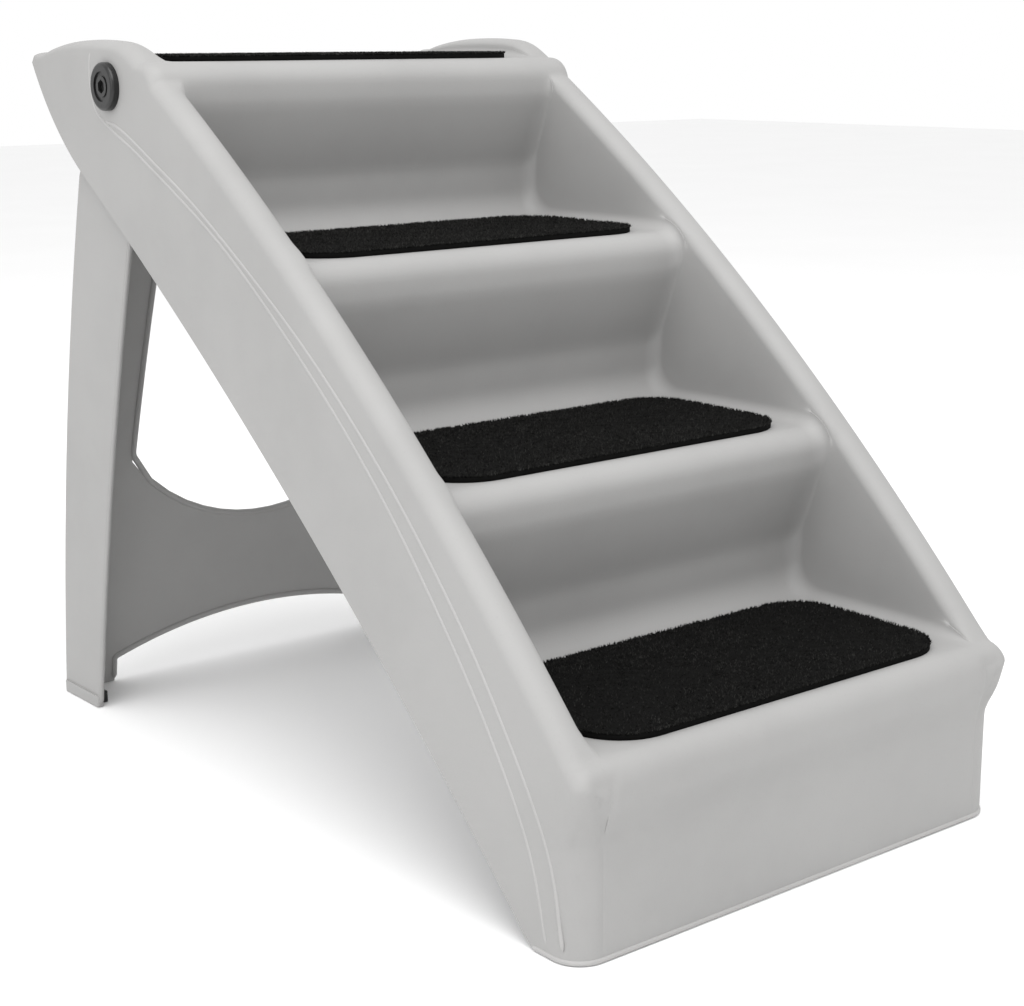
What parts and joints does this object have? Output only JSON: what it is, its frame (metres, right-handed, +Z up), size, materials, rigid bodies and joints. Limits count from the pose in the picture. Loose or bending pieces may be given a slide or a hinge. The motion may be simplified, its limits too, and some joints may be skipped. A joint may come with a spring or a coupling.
{
  "type": "folding pet steps",
  "caption": "Moulded pet stair with carpeted treads between raised side rails, held up by an arched leg frame that folds flat underneath.",
  "frame": {"origin": "on the floor, in the middle of the width and of the depth", "axes": "+X to the right seen from the front, +Y to the back (the treads climb that way), +Z up"},
  "size_m": [0.392, 0.6636, 0.523],
  "materials": {
    "shell_plastic": "fine-grained light warm grey",
    "mat_pile": "short cut pile, black",
    "adhesive": "thin adhesive film",
    "black_plastic": "satin black",
    "washer_plastic": "smooth, self-lubricating",
    "nut_steel": "zinc plated",
    "foot_rubber": "matt"
  },
  "bodies": {
    "stair": {"stair_body": "shell_plastic", "tread_mat_1": "mat_pile", "tread_mat_2": "mat_pile", "tread_mat_3": "mat_pile", "tread_mat_4": "mat_pile", "mat_adhesive_1": "adhesive", "mat_adhesive_2": "adhesive", "mat_adhesive_3": "adhesive", "mat_adhesive_4": "adhesive", "left_pivot_bolt": "black_plastic", "right_pivot_bolt": "black_plastic", "left_pivot_washer": "washer_plastic", "right_pivot_washer": "washer_plastic", "left_pivot_nut": "nut_steel", "right_pivot_nut": "nut_steel", "left_front_foot": "foot_rubber", "right_front_foot": "foot_rubber"},
    "legs": {"leg_frame": "shell_plastic", "left_rear_foot": "foot_rubber", "right_rear_foot": "foot_rubber"}
  },
  "joints": [
    {"name": "leg_fold", "type": "hinge", "parent": "stair", "child": "legs", "pos_m": [0, 0.18775, 0.491], "axis": [-1, 0, 0], "range_deg": [0, 57]}
  ]
}
